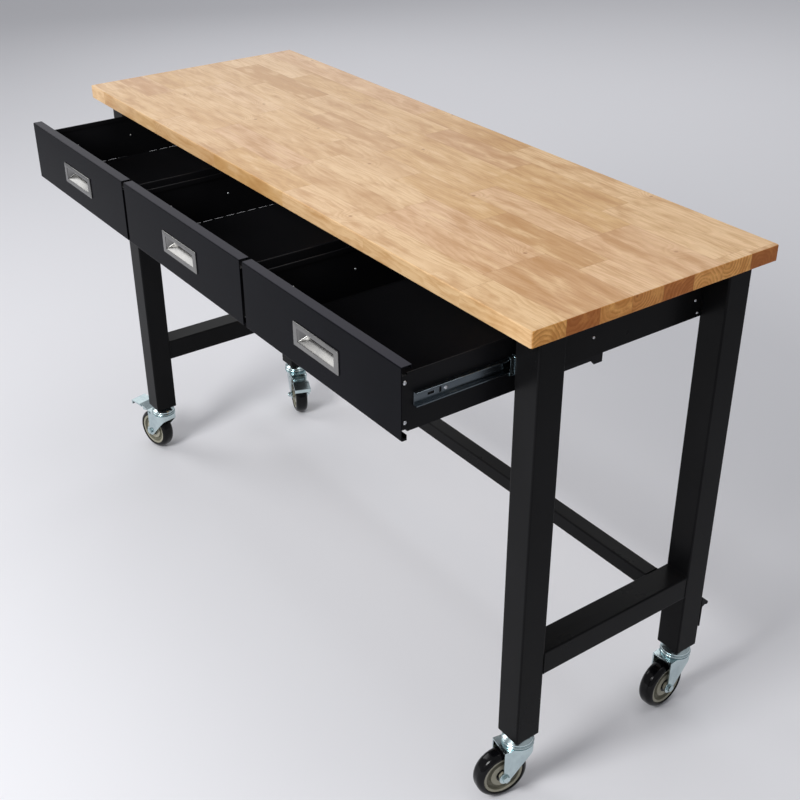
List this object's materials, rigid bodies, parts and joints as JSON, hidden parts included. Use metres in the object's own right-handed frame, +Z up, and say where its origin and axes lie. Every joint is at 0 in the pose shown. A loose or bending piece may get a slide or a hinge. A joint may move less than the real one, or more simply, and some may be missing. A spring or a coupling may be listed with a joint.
{
  "type": "rolling workbench",
  "caption": "Rolling workbench: laminated wood top on a black tubular steel frame, a row of sheet-metal drawers on ball bearing slides, swivel casters with brake pedals on the left pair",
  "frame": {"origin": "on the floor, in the middle of the space the bench takes up as pictured, with its drawers drawn out and its casters turned; the middle of the worktop is 30 mm to +X and 87 mm to +Y of it", "axes": "X along the bench, +X to the right of someone standing at the drawers; the drawers pull out towards -Y; Z up"},
  "size_m": [1.5842, 0.7008, 0.975],
  "materials": {
    "wood_top": "oiled, satin, glued staves",
    "frame_paint": "black powder coat, satin",
    "drawer_paint": "charcoal powder coat, satin",
    "tray_paint": "black powder coat, satin",
    "pull_nickel": "brushed nickel",
    "slide_zinc": "zinc plated",
    "caster_zinc": "bright zinc plated, bluish",
    "hub_plastic": "moulded, matte, warm grey",
    "tyre_rubber": "smooth black rubber, semi-gloss"
  },
  "bodies": {
    "frame": {"worktop": "wood_top", "leg_front_left": "frame_paint", "leg_front_right": "frame_paint", "leg_rear_left": "frame_paint", "leg_rear_right": "frame_paint", "side_panel_left": "frame_paint", "side_panel_right": "frame_paint", "rear_panel": "frame_paint", "side_stretcher_left": "frame_paint", "side_stretcher_right": "frame_paint", "rear_stretcher": "frame_paint", "partition_middle": "frame_paint", "partition_right": "frame_paint", "rear_hook": "frame_paint", "slide_cabinet_left_left": "slide_zinc", "slide_cabinet_left_right": "slide_zinc", "slide_cabinet_middle_left": "slide_zinc", "slide_cabinet_middle_right": "slide_zinc", "slide_cabinet_right_left": "slide_zinc", "slide_cabinet_right_right": "slide_zinc", "caster_stem_front_left": "caster_zinc", "caster_stem_front_right": "caster_zinc", "caster_stem_rear_left": "caster_zinc", "caster_stem_rear_right": "caster_zinc"},
    "drawer_left": {"drawer_front_left": "drawer_paint", "drawer_tray_left": "tray_paint", "drawer_pull_left": "pull_nickel", "slide_drawer_left_left": "slide_zinc", "slide_drawer_left_right": "slide_zinc"},
    "drawer_middle": {"drawer_front_middle": "drawer_paint", "drawer_tray_middle": "tray_paint", "drawer_pull_middle": "pull_nickel", "slide_drawer_middle_left": "slide_zinc", "slide_drawer_middle_right": "slide_zinc"},
    "drawer_right": {"drawer_front_right": "drawer_paint", "drawer_tray_right": "tray_paint", "drawer_pull_right": "pull_nickel", "slide_drawer_right_left": "slide_zinc", "slide_drawer_right_right": "slide_zinc"},
    "caster_front_left": {"caster_fork_front_left": "caster_zinc", "caster_axle_front_left": "caster_zinc"},
    "wheel_front_left": {"wheel_hub_front_left": "hub_plastic", "wheel_tyre_front_left": "tyre_rubber"},
    "brake_front_left": {"brake_pedal_front_left": "caster_zinc"},
    "caster_front_right": {"caster_fork_front_right": "caster_zinc", "caster_axle_front_right": "caster_zinc"},
    "wheel_front_right": {"wheel_hub_front_right": "hub_plastic", "wheel_tyre_front_right": "tyre_rubber"},
    "caster_rear_left": {"caster_fork_rear_left": "caster_zinc", "caster_axle_rear_left": "caster_zinc"},
    "wheel_rear_left": {"wheel_hub_rear_left": "hub_plastic", "wheel_tyre_rear_left": "tyre_rubber"},
    "brake_rear_left": {"brake_pedal_rear_left": "caster_zinc"},
    "caster_rear_right": {"caster_fork_rear_right": "caster_zinc", "caster_axle_rear_right": "caster_zinc"},
    "wheel_rear_right": {"wheel_hub_rear_right": "hub_plastic", "wheel_tyre_rear_right": "tyre_rubber"}
  },
  "joints": [
    {"name": "drawer_left_slide", "type": "slide", "parent": "frame", "child": "drawer_left", "axis": [0, -1, 0], "range_m": [-0.207, 0.073]},
    {"name": "drawer_middle_slide", "type": "slide", "parent": "frame", "child": "drawer_middle", "axis": [0, -1, 0], "range_m": [-0.207, 0.073]},
    {"name": "drawer_right_slide", "type": "slide", "parent": "frame", "child": "drawer_right", "axis": [0, -1, 0], "range_m": [-0.207, 0.073]},
    {"name": "caster_front_left_swivel", "type": "hinge", "parent": "frame", "child": "caster_front_left", "pos_m": [-0.68487, -0.1136, 0.12], "axis": [0, 0, 1], "continuous": true},
    {"name": "wheel_front_left_spin", "type": "hinge", "parent": "caster_front_left", "child": "wheel_front_left", "pos_m": [-0.71897, -0.12147, 0.051], "axis": [0.225, -0.9744, 0], "continuous": true},
    {"name": "brake_front_left_press", "type": "hinge", "parent": "caster_front_left", "child": "brake_front_left", "pos_m": [-0.71703, -0.12102, 0.106], "axis": [0.225, -0.9744, 0], "range_deg": [0, 14]},
    {"name": "caster_front_right_swivel", "type": "hinge", "parent": "frame", "child": "caster_front_right", "pos_m": [0.74513, -0.1136, 0.12], "axis": [0, 0, 1], "continuous": true},
    {"name": "wheel_front_right_spin", "type": "hinge", "parent": "caster_front_right", "child": "wheel_front_right", "pos_m": [0.73905, -0.14807, 0.051], "axis": [0.9848, -0.1736, 0], "continuous": true},
    {"name": "caster_rear_left_swivel", "type": "hinge", "parent": "frame", "child": "caster_rear_left", "pos_m": [-0.68487, 0.2914, 0.12], "axis": [0, 0, 1], "continuous": true},
    {"name": "wheel_rear_left_spin", "type": "hinge", "parent": "caster_rear_left", "child": "wheel_rear_left", "pos_m": [-0.6522, 0.27886, 0.051], "axis": [0.3584, 0.9336, 0], "continuous": true},
    {"name": "brake_rear_left_press", "type": "hinge", "parent": "caster_rear_left", "child": "brake_rear_left", "pos_m": [-0.65406, 0.27957, 0.106], "axis": [0.3584, 0.9336, 0], "range_deg": [-14, 0]},
    {"name": "caster_rear_right_swivel", "type": "hinge", "parent": "frame", "child": "caster_rear_right", "pos_m": [0.74513, 0.2914, 0.12], "axis": [0, 0, 1], "continuous": true},
    {"name": "wheel_rear_right_spin", "type": "hinge", "parent": "caster_rear_right", "child": "wheel_rear_right", "pos_m": [0.74757, 0.25649, 0.051], "axis": [0.9976, 0.0698, 0], "continuous": true}
  ]
}
